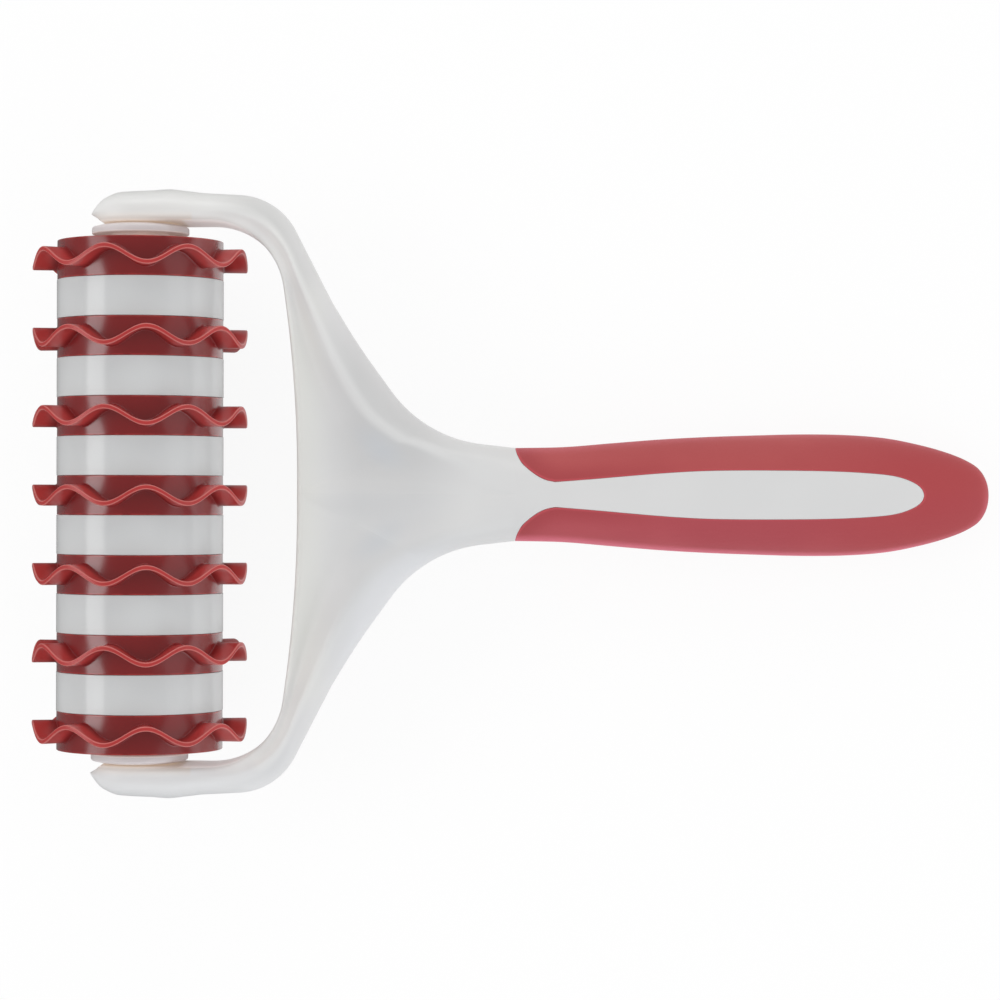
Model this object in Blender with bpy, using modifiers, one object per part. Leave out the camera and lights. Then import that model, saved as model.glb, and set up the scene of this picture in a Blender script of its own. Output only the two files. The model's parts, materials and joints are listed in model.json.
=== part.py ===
"""Multi-wheel pastry cutter: seven wavy cutting wheels and six spacer rings on one keyed spindle,
which turns between the arms of a moulded yoke. Metres, +Z up.

The tool's own frame has X along the handle, Y along the roller and its origin on the roller's axis.
It lies on the table on its wheels and its butt, so that frame is tilted a little about Y.
"""

import math

import bmesh
import bpy
import numpy as np
from mathutils import Vector

# Cutter wheels and spacer rings
wheel_count = 7
ring_pitch = 0.00898
ring_gap = 0.0002
drum_radius = 0.019
flange_reach = 0.0056
flange_thickness = 0.0011
wave_height = 0.00195
waves = 8
steps_per_wave = 8
spacer_proud = 0.0001
ring_wall = 0.002
web_thickness = 0.0016
hub_wall = 0.0018
turned_over_wheels = (1, 3, 6)
roller_turn = math.radians(10)
steepest_tilt = math.radians(30)

# Spindle and end caps
spindle_radius = 0.00655
spindle_bore_radius = 0.0046
key_width = 0.0024
key_height = 0.0011
fit_gap = 0.0003
end_float = 0.0012
cap_radius = 0.01115
cap_rim = 0.002
cap_cone = 0.0008
cap_face_radius = 0.0085
cap_edge = 0.0004
plug_length = 0.008
journal_radius = 0.003
journal_length = 0.005

# Arms of the yoke
arm_thickness = 0.00735
arm_half_width = 0.0095
arm_fall = 0.00113
arm_crest_x = 0.0073
arm_crest = 0.0006
arm_crest_radius = 0.008
arm_slope_x = 0.0145
arm_slope_fall = 0.0003
arm_slope_radius = 0.02
tip_reach = 0.0113
tip_rise = 0.0021
tip_step_reach = 0.0100
tip_step = 0.0014
tip_step_radius = 0.0005
tip_inner_reach = 0.0084
tip_inner_radius = 0.001
tip_side_reach = 0.0088
tip_side_rise = 0.0056
tip_side_radius = 0.006
tip_outer_reach = 0.0050
tip_outer_drop = 0.0001
tip_outer_radius = 0.006
pad_radius = 0.0055
socket_wall_gap = 0.0003

# Web, shoulders and neck of the yoke
wheel_to_web_gap = 0.01175
web_bow_half = 0.0235
web_bow_radius = 0.33
inner_corner_inset = 0.0050
inner_corner_radius = 0.017
shoulder_corner_x = 0.0318
shoulder_corner_radius = 0.0232
shoulder_bend_x = 0.0441
shoulder_bend_half = 0.0443
shoulder_bend_radius = 0.026
slope_bend_x = 0.0503
slope_bend_half = 0.0341
slope_bend_radius = 0.15
neck_corner_x = 0.0656
neck_corner_half = 0.0131
neck_corner_radius = 0.030
inner_edge_round = 0.0012

# Handle core and soft grip
grip_start = 0.0864
handle_end = 0.1954
handle_half_width = 0.0140
handle_half_depth = 0.0100
grip_wall = 0.002
grip_gap = 0.0003
window_tip = 0.1794
window_waist = 0.0955
window_waist_half = 0.0029
window_mouth_half = 0.0088
window_half = 0.0056

# Half-width of the handle from the start of the grip to the butt, as shares of its length and
# of its greatest half-width. The end is a short taper with a round nose.
handle_width_shares = (
    (0.00, 0.765), (0.10, 0.782), (0.20, 0.845), (0.30, 0.908), (0.40, 0.952), (0.50, 0.980),
    (0.60, 1.000), (0.70, 0.990), (0.78, 0.941), (0.85, 0.837), (0.91, 0.708), (0.955, 0.565),
    (0.98, 0.430), (0.995, 0.235), (1.00, 0.000),
)

# Half-width of the window from its waist to its tip, as shares of its length and of its half-width
window_width_shares = (
    (0.00, 0.515), (0.10, 0.634), (0.20, 0.766), (0.30, 0.888), (0.40, 0.973), (0.50, 1.000),
    (0.60, 1.000), (0.72, 0.981), (0.84, 0.906), (0.92, 0.779), (0.97, 0.531), (0.99, 0.330), (1.00, 0.000),
)

# Half-width of the window's flared mouth, as shares of the way from the grip's front edge to the
# waist and from the waist's half-width to the mouth's
window_mouth_shares = ((0.00, 1.00), (0.12, 0.66), (0.28, 0.42), (0.48, 0.20), (0.72, 0.06))

# Yoke sections: progress from arm tip (0) over the bend (1) and the middle of the web (2) to the
# neck (3), then edge height, ridge height, ridge place and dish depth. Heights and the dish are
# shares of the arm's half-width, and the place is a share of the way to the outer edge.
yoke_section_shares = (
    (0.0, 1.00, 1.00, 0.34, 0.00),
    (0.6, 0.98, 0.98, 0.34, 0.00),
    (1.0, 0.74, 0.91, 0.42, 0.04),
    (1.2, 0.64, 0.90, 0.48, 0.08),
    (1.4, 0.57, 0.87, 0.63, 0.11),
    (1.8, 0.50, 0.85, 0.73, 0.14),
    (2.0, 0.49, 0.84, 0.80, 0.14),
    (2.4, 0.60, 0.82, 0.70, 0.07),
    (2.8, 0.75, 0.80, 0.26, 0.00),
    (3.0, 0.80, 0.80, 0.00, 0.00),
)

# Places of the sections along each stretch of the yoke and the handle
arm_row_shares = (0.0, 0.03, 0.06, 0.085, 0.12, 0.17, 0.26, 0.46, 0.62, 0.73, 0.82, 0.91, 1.0)
web_row_shares = (0.06, 0.12, 0.19, 0.28, 0.42, 0.56, 0.70, 0.85, 1.0)
neck_row_shares = (0.10, 0.22, 0.36, 0.54, 0.76, 1.0)
handle_row_shares = (0.10, 0.22, 0.36, 0.50, 0.64, 0.76, 0.85, 0.91, 0.955, 0.98, 0.995, 1.0)
ridge_column_shares = (0.0, 0.5, 1.0)
side_column_shares = (0.36, 0.68, 0.90, 1.0)
least_ridge_share = 0.4
section_power = 2.5
round_steps = 20
cap_steps = 24
spacer_steps = 36
path_points = 24
cut_overrun = 0.002
merge_distance = 0.000004

wheel_disc_radius = drum_radius + flange_reach
ring_height = ring_pitch - ring_gap
ring_count = 2 * wheel_count - 1
stack_length = ring_count * ring_pitch - ring_gap
flange_face = (stack_length + end_float + fit_gap) / 2
cap_thickness = cap_rim + cap_cone
arm_inner = flange_face + cap_thickness + fit_gap
arm_outer = arm_inner + arm_thickness
stack_bottom = fit_gap - flange_face
web_edge_x = wheel_disc_radius + wheel_to_web_gap
bore_radius = spindle_radius + fit_gap
wheel_steps = waves * steps_per_wave

colours = {
    "white_moulding": ((0.80, 0.80, 0.79), 0.38),
    "white_ring": ((0.78, 0.77, 0.77), 0.30),
    "cutter_red": ((0.34, 0.018, 0.018), 0.32),
    "grip_red": ((0.47, 0.088, 0.095), 0.72),
}


def clear_scene():
    for thing in list(bpy.data.objects):
        bpy.data.objects.remove(thing, do_unlink=True)


def make_collections():
    parts = bpy.data.collections.new("multi_wheel_pastry_cutter")
    cutters = bpy.data.collections.new("cutters")
    for group in (parts, cutters):
        bpy.context.scene.collection.children.link(group)
    return parts, cutters


def make_material(name):
    colour, roughness = colours[name]
    material = bpy.data.materials.new(name)
    material.use_nodes = True
    surface = material.node_tree.nodes["Principled BSDF"]
    surface.inputs["Base Color"].default_value = (*colour, 1.0)
    surface.inputs["Roughness"].default_value = roughness
    surface.inputs["Metallic"].default_value = 0.0
    return material


def new_object(name, data, group, parent=None, material=None):
    thing = bpy.data.objects.new(name, data)
    group.objects.link(thing)
    thing.parent = parent
    if material:
        data.materials.clear()
        data.materials.append(material)
    return thing


def mesh_from(name, build):
    """A mesh that the given function fills through bmesh."""
    form = bmesh.new()
    build(form)
    mesh = bpy.data.meshes.new(name)
    form.to_mesh(mesh)
    form.free()
    return mesh


def as_cutter(thing):
    thing.hide_render = True
    thing.display_type = "WIRE"
    return thing


def cut(thing, other, operation="DIFFERENCE"):
    modifier = thing.modifiers.new(f"{operation.lower()} {other.name}", "BOOLEAN")
    modifier.operation = operation
    modifier.solver = "EXACT"
    modifier.object = other


def finished_mesh(thing):
    """The object's mesh with its modifiers applied; the object itself is removed."""
    bpy.context.view_layer.update()
    graph = bpy.context.evaluated_depsgraph_get()
    mesh = bpy.data.meshes.new_from_object(thing.evaluated_get(graph))
    bpy.data.objects.remove(thing, do_unlink=True)
    return mesh


def smooth(thing, angle=math.radians(35)):
    thing.data.shade_smooth()
    thing.data.set_sharp_from_angle(angle=angle)


def turned_object(name, profile, steps, group, parent=None, material=None, closed=False):
    """A profile of (radius, height) points, turned about the object's Z axis."""

    def outline(form):
        points = [form.verts.new((radius, 0, height)) for radius, height in profile]
        for first, second in zip(points, points[1:] + (points[:1] if closed else [])):
            form.edges.new((first, second))

    thing = new_object(name, mesh_from(name, outline), group, parent, material)
    screw = thing.modifiers.new("turned", "SCREW")
    screw.steps = steps
    screw.render_steps = steps
    screw.use_merge_vertices = True
    screw.merge_threshold = merge_distance
    return thing


def drum_object(name, radius, low, high, steps, group, parent=None, material=None):
    """A plain cylinder about the object's Z axis."""
    profile = [(0, high), (radius, high), (radius, low), (0, low)]
    return turned_object(name, profile, steps, group, parent, material)


def block_object(name, size, centre, group, parent=None):
    def box(form):
        bmesh.ops.create_cube(form, size=1)
        bmesh.ops.scale(form, vec=size, verts=form.verts)
        bmesh.ops.translate(form, vec=centre, verts=form.verts)

    return new_object(name, mesh_from(name, box), group, parent)


def slab_object(name, outline, half_depth, group, parent=None):
    """A flat outline in X and Y, given its thickness on both sides of z = 0."""
    curve = bpy.data.curves.new(name, "CURVE")
    curve.dimensions = "2D"
    curve.fill_mode = "BOTH"
    curve.extrude = half_depth
    spline = curve.splines.new("POLY")
    spline.points.add(len(outline) - 1)
    for point, (x, y) in zip(spline.points, outline):
        point.co = (x, y, 0, 1)
    spline.use_cyclic_u = True
    mesh = finished_mesh(new_object(f"{name}_outline", curve, group))
    form = bmesh.new()
    form.from_mesh(mesh)
    bmesh.ops.remove_doubles(form, verts=form.verts, dist=merge_distance)
    form.to_mesh(mesh)
    form.free()
    return new_object(name, mesh, group, parent)


# Cutter wheels

def wheel_mesh(group):
    """A hub ring with one wavy flange at mid-height, its crest over the keyway."""
    half = ring_height / 2
    edge = flange_thickness / 2
    profile = [
        (drum_radius, half),
        (drum_radius, edge),
        (wheel_disc_radius, edge),
        (wheel_disc_radius, -edge),
        (drum_radius, -edge),
        (drum_radius, -half),
        (bore_radius / 2, -half),
        (bore_radius / 2, half),
    ]
    mesh = finished_mesh(turned_object("wheel_form", profile, wheel_steps, group, closed=True))
    for vertex in mesh.vertices:
        if abs(vertex.co.z) < flange_thickness:
            angle = math.atan2(vertex.co.x, -vertex.co.y)
            vertex.co.z += wave_height * math.cos(waves * angle)
    return mesh


def ring_cutters(group, parent, outer_radius, name):
    """The recess in a ring's open side, the bore and the keyway through it."""
    half = ring_height / 2
    wide = outer_radius - ring_wall
    narrow = bore_radius + hub_wall
    high = half + cut_overrun
    floor = web_thickness - half
    recess = [(wide, high), (wide, floor), (narrow, floor), (narrow, high)]
    keyway_size = (
        key_width + 2 * fit_gap,
        2 * (spindle_radius + key_height + fit_gap),
        ring_height + 2 * cut_overrun,
    )
    return [
        as_cutter(turned_object(f"{name}_recess", recess, round_steps, group, parent, closed=True)),
        as_cutter(drum_object(f"{name}_bore", bore_radius, -high, high, round_steps, group, parent)),
        as_cutter(block_object(f"{name}_keyway", keyway_size, (0, 0, 0), group, parent)),
    ]


def ring_place(index):
    """Height of ring number index, counted from the lower end of the stack."""
    return stack_bottom + index * ring_pitch + ring_height / 2


def make_wheels(parts, cutters, roller, material):
    form = new_object("wheel_form_cut", wheel_mesh(cutters), cutters)
    tools = ring_cutters(cutters, None, drum_radius, "wheel")
    for tool in tools:
        cut(form, tool)
    mesh = finished_mesh(form)
    mesh.name = "cutter_wheel"
    for tool in tools:
        bpy.data.objects.remove(tool, do_unlink=True)
    for number in range(1, wheel_count + 1):
        wheel = new_object(f"cutter_wheel_{number}", mesh, parts, roller, material)
        wheel.location.z = ring_place(ring_count + 1 - 2 * number)
        if number in turned_over_wheels:
            wheel.rotation_euler.y = math.pi
        smooth(wheel)


# Spacer rings

def make_spacers(parts, cutters, roller, material):
    half = ring_height / 2
    radius = drum_radius + spacer_proud
    profile = [(radius, half), (radius, -half), (bore_radius / 2, -half), (bore_radius / 2, half)]
    form = turned_object("spacer_form", profile, spacer_steps, cutters, closed=True)
    tools = ring_cutters(cutters, None, radius, "spacer")
    for tool in tools:
        cut(form, tool)
    mesh = finished_mesh(form)
    mesh.name = "spacer_ring"
    for tool in tools:
        bpy.data.objects.remove(tool, do_unlink=True)
    for number in range(1, wheel_count):
        spacer = new_object(f"spacer_ring_{number}", mesh, parts, roller, material)
        spacer.location.z = ring_place(ring_count - 2 * number)
        smooth(spacer)


# Spindle: a keyed tube between the two end caps

def make_spindle(parts, cutters, roller, material):
    spindle = drum_object(
        "spindle", spindle_radius, -flange_face + fit_gap / 2, flange_face - fit_gap / 2,
        round_steps, parts, roller, material,
    )
    key_size = (
        key_width,
        2 * (spindle_radius + key_height),
        2 * flange_face - fit_gap,
    )
    keys = as_cutter(block_object("spindle_keys", key_size, (0, 0, 0), cutters, roller))
    reach = flange_face + cut_overrun
    bore = drum_object("spindle_bore", spindle_bore_radius, -reach, reach, round_steps, cutters, roller)
    cut(spindle, keys, "UNION")
    cut(spindle, as_cutter(bore))
    smooth(spindle)


# End caps: a plug in the spindle, a flange and a journal in the arm's socket

def make_end_cap(name, parts, roller, material, side):
    foot = fit_gap / 2
    plug_radius = spindle_bore_radius - fit_gap
    top = cap_thickness
    profile = [
        (0, top + journal_length),
        (journal_radius - cap_edge, top + journal_length),
        (journal_radius, top + journal_length - cap_edge),
        (journal_radius, top),
        (cap_face_radius, top),
        (cap_radius - cap_edge, top - cap_cone),
        (cap_radius, top - cap_cone - cap_edge),
        (cap_radius, cap_edge + foot),
        (cap_radius - cap_edge, foot),
        (plug_radius, foot),
        (plug_radius, -plug_length),
        (0, -plug_length),
    ]
    cap = turned_object(name, profile, cap_steps, parts, roller, material)
    cap.location.z = side * flange_face
    if side < 0:
        cap.rotation_euler.y = math.pi
    smooth(cap)


# Outlines of the yoke and the handle

def rounded_path(corners):
    """Points along straight runs between (x, y, radius) corners, each rounded to its radius."""
    places = [Vector(corner[:2]) for corner in corners]
    path = [places[0]]
    for before, here, after, (_, _, radius) in zip(places, places[1:], places[2:], corners[1:]):
        back = (before - here).normalized()
        on = (after - here).normalized()
        opening = back.angle(on) / 2
        room_back = (before - here).length / (1 if before is places[0] else 2)
        room_on = (after - here).length / (1 if after is places[-1] else 2)
        tangent = min(radius / math.tan(opening), room_back, room_on)
        start = here + back * tangent
        end = here + on * tangent
        reach = tangent * math.tan(opening)
        centre = here + (back + on).normalized() * (reach / math.sin(opening))
        sweep = math.pi - 2 * opening
        middle = (here - centre).normalized()
        side = (on - back).normalized()
        for step in range(path_points + 1):
            angle = sweep * (step / path_points - 1 / 2)
            if 0 < step < path_points:
                path.append(centre + (middle * math.cos(angle) + side * math.sin(angle)) * reach)
            else:
                path.append(start if step == 0 else end)
    path.append(places[-1])
    return path


class Path:
    """A path that gives the point at any share of its length."""

    def __init__(self, corners):
        self.points = rounded_path(corners)
        steps = [(b - a).length for a, b in zip(self.points, self.points[1:])]
        self.marks = np.concatenate([[0], np.cumsum(steps)])
        self.marks /= self.marks[-1]

    def at(self, share):
        x = np.interp(share, self.marks, [point.x for point in self.points])
        y = np.interp(share, self.marks, [point.y for point in self.points])
        return Vector((x, y))

    def share_near(self, x, y):
        return self.marks[int(np.argmin([(point - Vector((x, y))).length for point in self.points]))]


def smooth_value(shares, place):
    """The value at a place in a table of (place, value) shares, along a smooth curve through it."""
    places, values = np.array(shares).T
    slopes = np.gradient(values, places)
    k = int(np.clip(np.searchsorted(places, place) - 1, 0, len(places) - 2))
    width = places[k + 1] - places[k]
    t = np.clip((place - places[k]) / width, 0, 1)
    return float(
        values[k] * (1 + 2 * t) * (1 - t) ** 2
        + slopes[k] * width * t * (1 - t) ** 2
        + values[k + 1] * t * t * (3 - 2 * t)
        + slopes[k + 1] * width * t * t * (t - 1)
    )


def handle_half(share):
    return max(smooth_value(handle_width_shares, share), 0) * handle_half_width


tip_corner = (-tip_reach, arm_inner + tip_rise, 0)
inner_bend_corner = (web_edge_x - inner_corner_inset, arm_inner, inner_corner_radius)
outer_bend_corner = (shoulder_corner_x, arm_outer - arm_fall, shoulder_corner_radius)
waist_corner = (neck_corner_x, neck_corner_half, neck_corner_radius)

inner_corners = (
    tip_corner,
    (-tip_step_reach, arm_inner + tip_step, tip_step_radius),
    (-tip_inner_reach, arm_inner, tip_inner_radius),
    inner_bend_corner,
    (web_edge_x, web_bow_half, web_bow_radius),
    (web_edge_x, 0, 0),
)

outer_corners = (
    tip_corner,
    (-tip_side_reach, arm_inner + tip_side_rise, tip_side_radius),
    (-tip_outer_reach, arm_outer - tip_outer_drop, tip_outer_radius),
    (arm_crest_x, arm_outer + arm_crest, arm_crest_radius),
    (arm_slope_x, arm_outer - arm_slope_fall, arm_slope_radius),
    outer_bend_corner,
    (shoulder_bend_x, shoulder_bend_half, shoulder_bend_radius),
    (slope_bend_x, slope_bend_half, slope_bend_radius),
    waist_corner,
    (grip_start, handle_half_width * handle_width_shares[0][1], 0),
)


def section_values(progress):
    places = [row[0] for row in yoke_section_shares]
    return [
        float(np.interp(progress, places, [row[column] for row in yoke_section_shares]))
        for column in range(1, 5)
    ]


def section_height(progress, share, half_height):
    """Height of the yoke's front face at a share of the way from its inner to its outer edge."""
    edge, ridge, place, dish = section_values(progress)
    if share < place:
        t = share / place
        rise = edge + (ridge - edge) * t * t * (3 - 2 * t)
        return (rise - dish * math.sin(math.pi * t) ** 2) * half_height
    t = (share - place) / (1 - place)
    return ridge * half_height * math.sqrt(max(1 - t**section_power, 0))


def yoke_rows():
    """(inner point, outer point, progress) of each section, from the arm's tip to the neck."""
    inner = Path(inner_corners)
    outer = Path(outer_corners)
    inner_bend = inner.share_near(*inner_bend_corner[:2])
    outer_bend = outer.share_near(*outer_bend_corner[:2])
    outer_waist = outer.share_near(*waist_corner[:2])
    rows = []
    for share in arm_row_shares:
        rows.append((inner.at(share * inner_bend), outer.at(share * outer_bend), share))
    for share in web_row_shares:
        inner_place = inner_bend + (1 - inner_bend) * share
        outer_place = outer_bend + (outer_waist - outer_bend) * share
        rows.append((inner.at(inner_place), outer.at(outer_place), 1 + share))
    for share in neck_row_shares:
        inner_point = Vector((web_edge_x + (grip_start - web_edge_x) * share, 0))
        outer_place = outer_waist + (1 - outer_waist) * share
        rows.append((inner_point, outer.at(outer_place), 2 + share))
    return rows


def columns_at(progress):
    """Places of a section's columns on the way to the outer edge; one of them follows the ridge."""
    ridge = max(section_values(progress)[2], least_ridge_share)
    inner = [ridge * share for share in ridge_column_shares]
    return inner + [ridge + (1 - ridge) * share for share in side_column_shares]


def yoke_section(form, inner, outer, progress):
    """One section's vertices, from the inner edge out to the edge at z = 0."""
    nose = (inner.x + outer.x) / 2 / tip_reach
    half_height = arm_half_width * (math.sqrt(max(1 - nose * nose, 0)) if nose < 0 else 1)
    row = []
    for share in columns_at(progress):
        place = inner + (outer - inner) * share
        height = section_height(progress, share, half_height)
        row.append(form.verts.new((place.x, place.y, height)))
    if progress <= 2:
        row[0].co.z = max(row[0].co.z - inner_edge_round, 0)
    return row


def skin(form, first, second):
    for a, b, c, d in zip(first, first[1:], second[1:], second):
        form.faces.new((a, b, c, d))


def yoke_form(form):
    """A quarter of the yoke with its handle, open at y = 0 and z = 0."""
    rows = []
    walls = []
    for inner, outer, progress in yoke_rows():
        rows.append(yoke_section(form, inner, outer, progress))
        if progress <= 2:
            walls.append(form.verts.new((inner.x, inner.y, 0)))
    for share in handle_row_shares:
        x = grip_start + (handle_end - grip_start) * share
        rows.append(handle_section(form, x, handle_half(share), depth_of(share)))
    for first, second in zip(rows, rows[1:]):
        skin(form, first, second)
    for below, above, next_above, next_below in zip(walls, rows, rows[1:], walls[1:]):
        form.faces.new((below, above[0], next_above[0], next_below))
    bmesh.ops.remove_doubles(form, verts=form.verts, dist=merge_distance)
    bmesh.ops.recalc_face_normals(form, faces=form.faces)


def depth_of(share):
    """Half-depth of the handle; at the grip's start it carries on from the neck."""
    start = yoke_section_shares[-1][1] * arm_half_width
    width = handle_half(share) / handle_half_width
    start_share = handle_width_shares[0][1]
    shift = (start / handle_half_depth - start_share) * (1 - share) ** 2 * width / start_share
    return handle_half_depth * (width + shift)


def handle_section(form, x, half_width, half_depth):
    row = []
    for share in columns_at(3):
        height = half_depth * math.sqrt(max(1 - share**section_power, 0))
        row.append(form.verts.new((x, half_width * share, height)))
    return row


def mirrored(thing, axes):
    mirror = thing.modifiers.new("mirror", "MIRROR")
    mirror.use_axis = axes
    mirror.merge_threshold = merge_distance
    return thing


def outward(mesh):
    form = bmesh.new()
    form.from_mesh(mesh)
    bmesh.ops.recalc_face_normals(form, faces=form.faces)
    form.to_mesh(mesh)
    form.free()
    return mesh


def full_form_mesh(group):
    thing = new_object("full_form", mesh_from("full_form", yoke_form), group)
    return outward(finished_mesh(mirrored(thing, (False, True, True))))


def core_object(name, wall, group, parent):
    """The handle's form drawn in by the given wall, as the core under the grip."""
    end = handle_end - wall
    start = grip_start - cut_overrun
    wide = 1 - wall / handle_half_width
    deep = 1 - wall / handle_half_depth

    def form_core(form):
        first = handle_section(form, start, handle_half(0) * wide, depth_of(0) * deep)
        rows = [first]
        for share in handle_row_shares:
            x = start + (end - start) * share
            rows.append(handle_section(form, x, handle_half(share) * wide, depth_of(share) * deep))
        for one, other in zip(rows, rows[1:]):
            skin(form, one, other)
        corner = form.verts.new((start, 0, 0))
        form.faces.new((corner, *first))
        bmesh.ops.remove_doubles(form, verts=form.verts, dist=merge_distance)
        bmesh.ops.recalc_face_normals(form, faces=form.faces)

    quarter = new_object(f"{name}_quarter", mesh_from(name, form_core), group)
    mesh = outward(finished_mesh(mirrored(quarter, (False, True, True))))
    return as_cutter(new_object(name, mesh, group, parent))


def window_outline(front, gap):
    """Upper edge of the window, from its mouth at the grip's front edge to its tip."""
    points = []
    for along, out in window_mouth_shares:
        x = front + (window_waist - front) * along
        points.append((x, window_waist_half + (window_mouth_half - window_waist_half) * out - gap))
    for along, out in window_width_shares:
        x = window_waist + (window_tip - gap - window_waist) * along
        points.append((x, max(window_half * out - gap, 0)))
    return points


def grip_zone(name, front, gap, group, parent):
    """The slab of space that the grip fills, in plan: all of the handle except the window."""
    upper = window_outline(front, gap)
    side = handle_half_width + cut_overrun
    end = handle_end + cut_overrun
    lower = [(x, -y) for x, y in reversed(upper[:-1])]
    outline = [(front, side), (end, side), (end, -side), (front, -side)]
    outline = outline[::-1] + upper + lower
    half_depth = handle_half_depth + cut_overrun
    return as_cutter(slab_object(name, outline, half_depth, group, parent))


# Yoke: arms, web, neck and the handle's core, with a socket in each arm

def make_yoke(parts, cutters, tool, mesh, material):
    yoke = new_object("yoke_frame", mesh, parts, tool, material)
    grip_space = grip_zone("grip_space", grip_start, grip_gap, cutters, tool)
    cut(grip_space, core_object("grip_core", grip_wall, cutters, tool))
    cut(yoke, grip_space)
    socket_end = flange_face + cap_thickness + journal_length + socket_wall_gap
    for side, word in ((1, "upper"), (-1, "lower")):
        socket = drum_object(
            f"{word}_socket", journal_radius + fit_gap, arm_inner - cut_overrun, socket_end,
            round_steps, cutters, tool,
        )
        pad = drum_object(
            f"{word}_pad", pad_radius, arm_outer, arm_outer + arm_crest + cut_overrun,
            round_steps, cutters, tool,
        )
        for tool_piece in (socket, pad):
            tool_piece.rotation_euler.x = -side * math.pi / 2
            cut(yoke, as_cutter(tool_piece))
    smooth(yoke)


# Soft grip: two prongs beside the window, joined over the butt

def make_grip(parts, cutters, tool, mesh, material):
    grip = new_object("soft_grip", mesh, parts, tool, material)
    zone = grip_zone("grip_outline", grip_start + grip_gap, 0, cutters, tool)
    cut(grip, zone, "INTERSECT")
    cut(grip, core_object("grip_hollow", grip_wall - grip_gap, cutters, tool))
    smooth(grip)


# Resting place

def rest_tilt():
    """The tilt about Y at which the wheels and the handle's underside touch the table together."""
    shares = np.linspace(0, 1, path_points * 2)
    low, high = 0.0, steepest_tilt
    for _ in range(path_points):
        tilt = (low + high) / 2
        reaches = [
            (grip_start + (handle_end - grip_start) * share) * math.sin(tilt)
            + depth_of(share) * math.cos(tilt)
            for share in shares
        ]
        if max(reaches) > wheel_disc_radius:
            high = tilt
        else:
            low = tilt
    return low


def make_frames(group):
    tilt = rest_tilt()
    tool = new_object("tool_frame", None, group)
    reach = handle_end * math.cos(tilt)
    tool.location = ((wheel_disc_radius - reach) / 2, 0, wheel_disc_radius)
    tool.rotation_euler.y = tilt
    roller = new_object("roller_axis", None, group, tool)
    roller.rotation_euler.x = -math.pi / 2
    keyed = new_object("keyed_turn", None, group, roller)
    keyed.rotation_euler.z = roller_turn
    return tool, keyed


def main():
    clear_scene()
    parts, cutters = make_collections()
    tool, roller = make_frames(parts)
    white_moulding = make_material("white_moulding")
    white_ring = make_material("white_ring")
    cutter_red = make_material("cutter_red")
    form = full_form_mesh(cutters)
    make_yoke(parts, cutters, tool, form, white_moulding)
    make_grip(parts, cutters, tool, form.copy(), make_material("grip_red"))
    make_spindle(parts, cutters, roller, white_moulding)
    make_end_cap("end_cap_upper", parts, roller, white_moulding, 1)
    make_end_cap("end_cap_lower", parts, roller, white_moulding, -1)
    make_wheels(parts, cutters, roller, cutter_red)
    make_spacers(parts, cutters, roller, white_ring)
    cutters.hide_render = True


main()
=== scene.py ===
"""Multi-wheel pastry cutter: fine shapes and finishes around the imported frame.

Every piece is built in the tool's own frame, with X along the handle, Y along the roller and its
origin on the roller's axis, or in the roller's frame, with Z along the roller. Lengths are in metres.
"""

import json
import math

import bmesh
import bpy
import numpy as np
from mathutils import Matrix, Vector

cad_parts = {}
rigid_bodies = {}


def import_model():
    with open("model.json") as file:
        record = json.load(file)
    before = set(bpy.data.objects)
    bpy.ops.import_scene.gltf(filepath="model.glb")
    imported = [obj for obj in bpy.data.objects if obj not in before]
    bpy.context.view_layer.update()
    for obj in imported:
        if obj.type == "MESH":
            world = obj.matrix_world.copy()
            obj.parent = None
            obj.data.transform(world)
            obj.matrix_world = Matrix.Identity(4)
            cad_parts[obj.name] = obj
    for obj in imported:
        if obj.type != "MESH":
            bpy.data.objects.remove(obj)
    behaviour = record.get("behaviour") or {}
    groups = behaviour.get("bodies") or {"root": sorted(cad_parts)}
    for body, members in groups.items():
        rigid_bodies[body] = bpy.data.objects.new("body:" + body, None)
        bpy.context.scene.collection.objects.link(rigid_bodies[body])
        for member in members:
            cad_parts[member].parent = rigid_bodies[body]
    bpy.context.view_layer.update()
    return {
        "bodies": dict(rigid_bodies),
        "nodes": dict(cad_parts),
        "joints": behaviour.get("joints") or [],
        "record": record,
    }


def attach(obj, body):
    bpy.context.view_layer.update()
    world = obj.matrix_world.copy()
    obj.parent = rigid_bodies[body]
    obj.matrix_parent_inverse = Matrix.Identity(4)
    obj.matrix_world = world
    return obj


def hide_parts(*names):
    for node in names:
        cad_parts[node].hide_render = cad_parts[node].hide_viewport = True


# Cutter wheels and spacer rings
wheel_count = 7
ring_pitch = 0.00898
ring_gap = 0.0002
ring_seam = 0.00005
drum_radius = 0.019
flange_reach = 0.0056
flange_thickness = 0.0011
flange_root_round = 0.0004
flange_rim_round = 0.0003
wave_height = 0.00186
waves = 8
spacer_proud = 0.0001
ring_wall = 0.002
web_thickness = 0.0016
hub_wall = 0.0018
ring_edge_round = 0.00012
turned_over_wheels = (1, 3, 6)
roller_turn = math.radians(10)

# Spindle and end caps
spindle_radius = 0.00655
spindle_bore_radius = 0.0046
key_width = 0.0024
key_height = 0.0011
fit_gap = 0.0003
end_float = 0.0012
cap_radius = 0.01115
cap_rim = 0.002
cap_cone = 0.0008
cap_face_radius = 0.0085
cap_edge_round = 0.0006
cap_neck = 0.0004
cap_shoulder = 0.0003
plug_length = 0.008
journal_radius = 0.003
journal_length = 0.005

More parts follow.
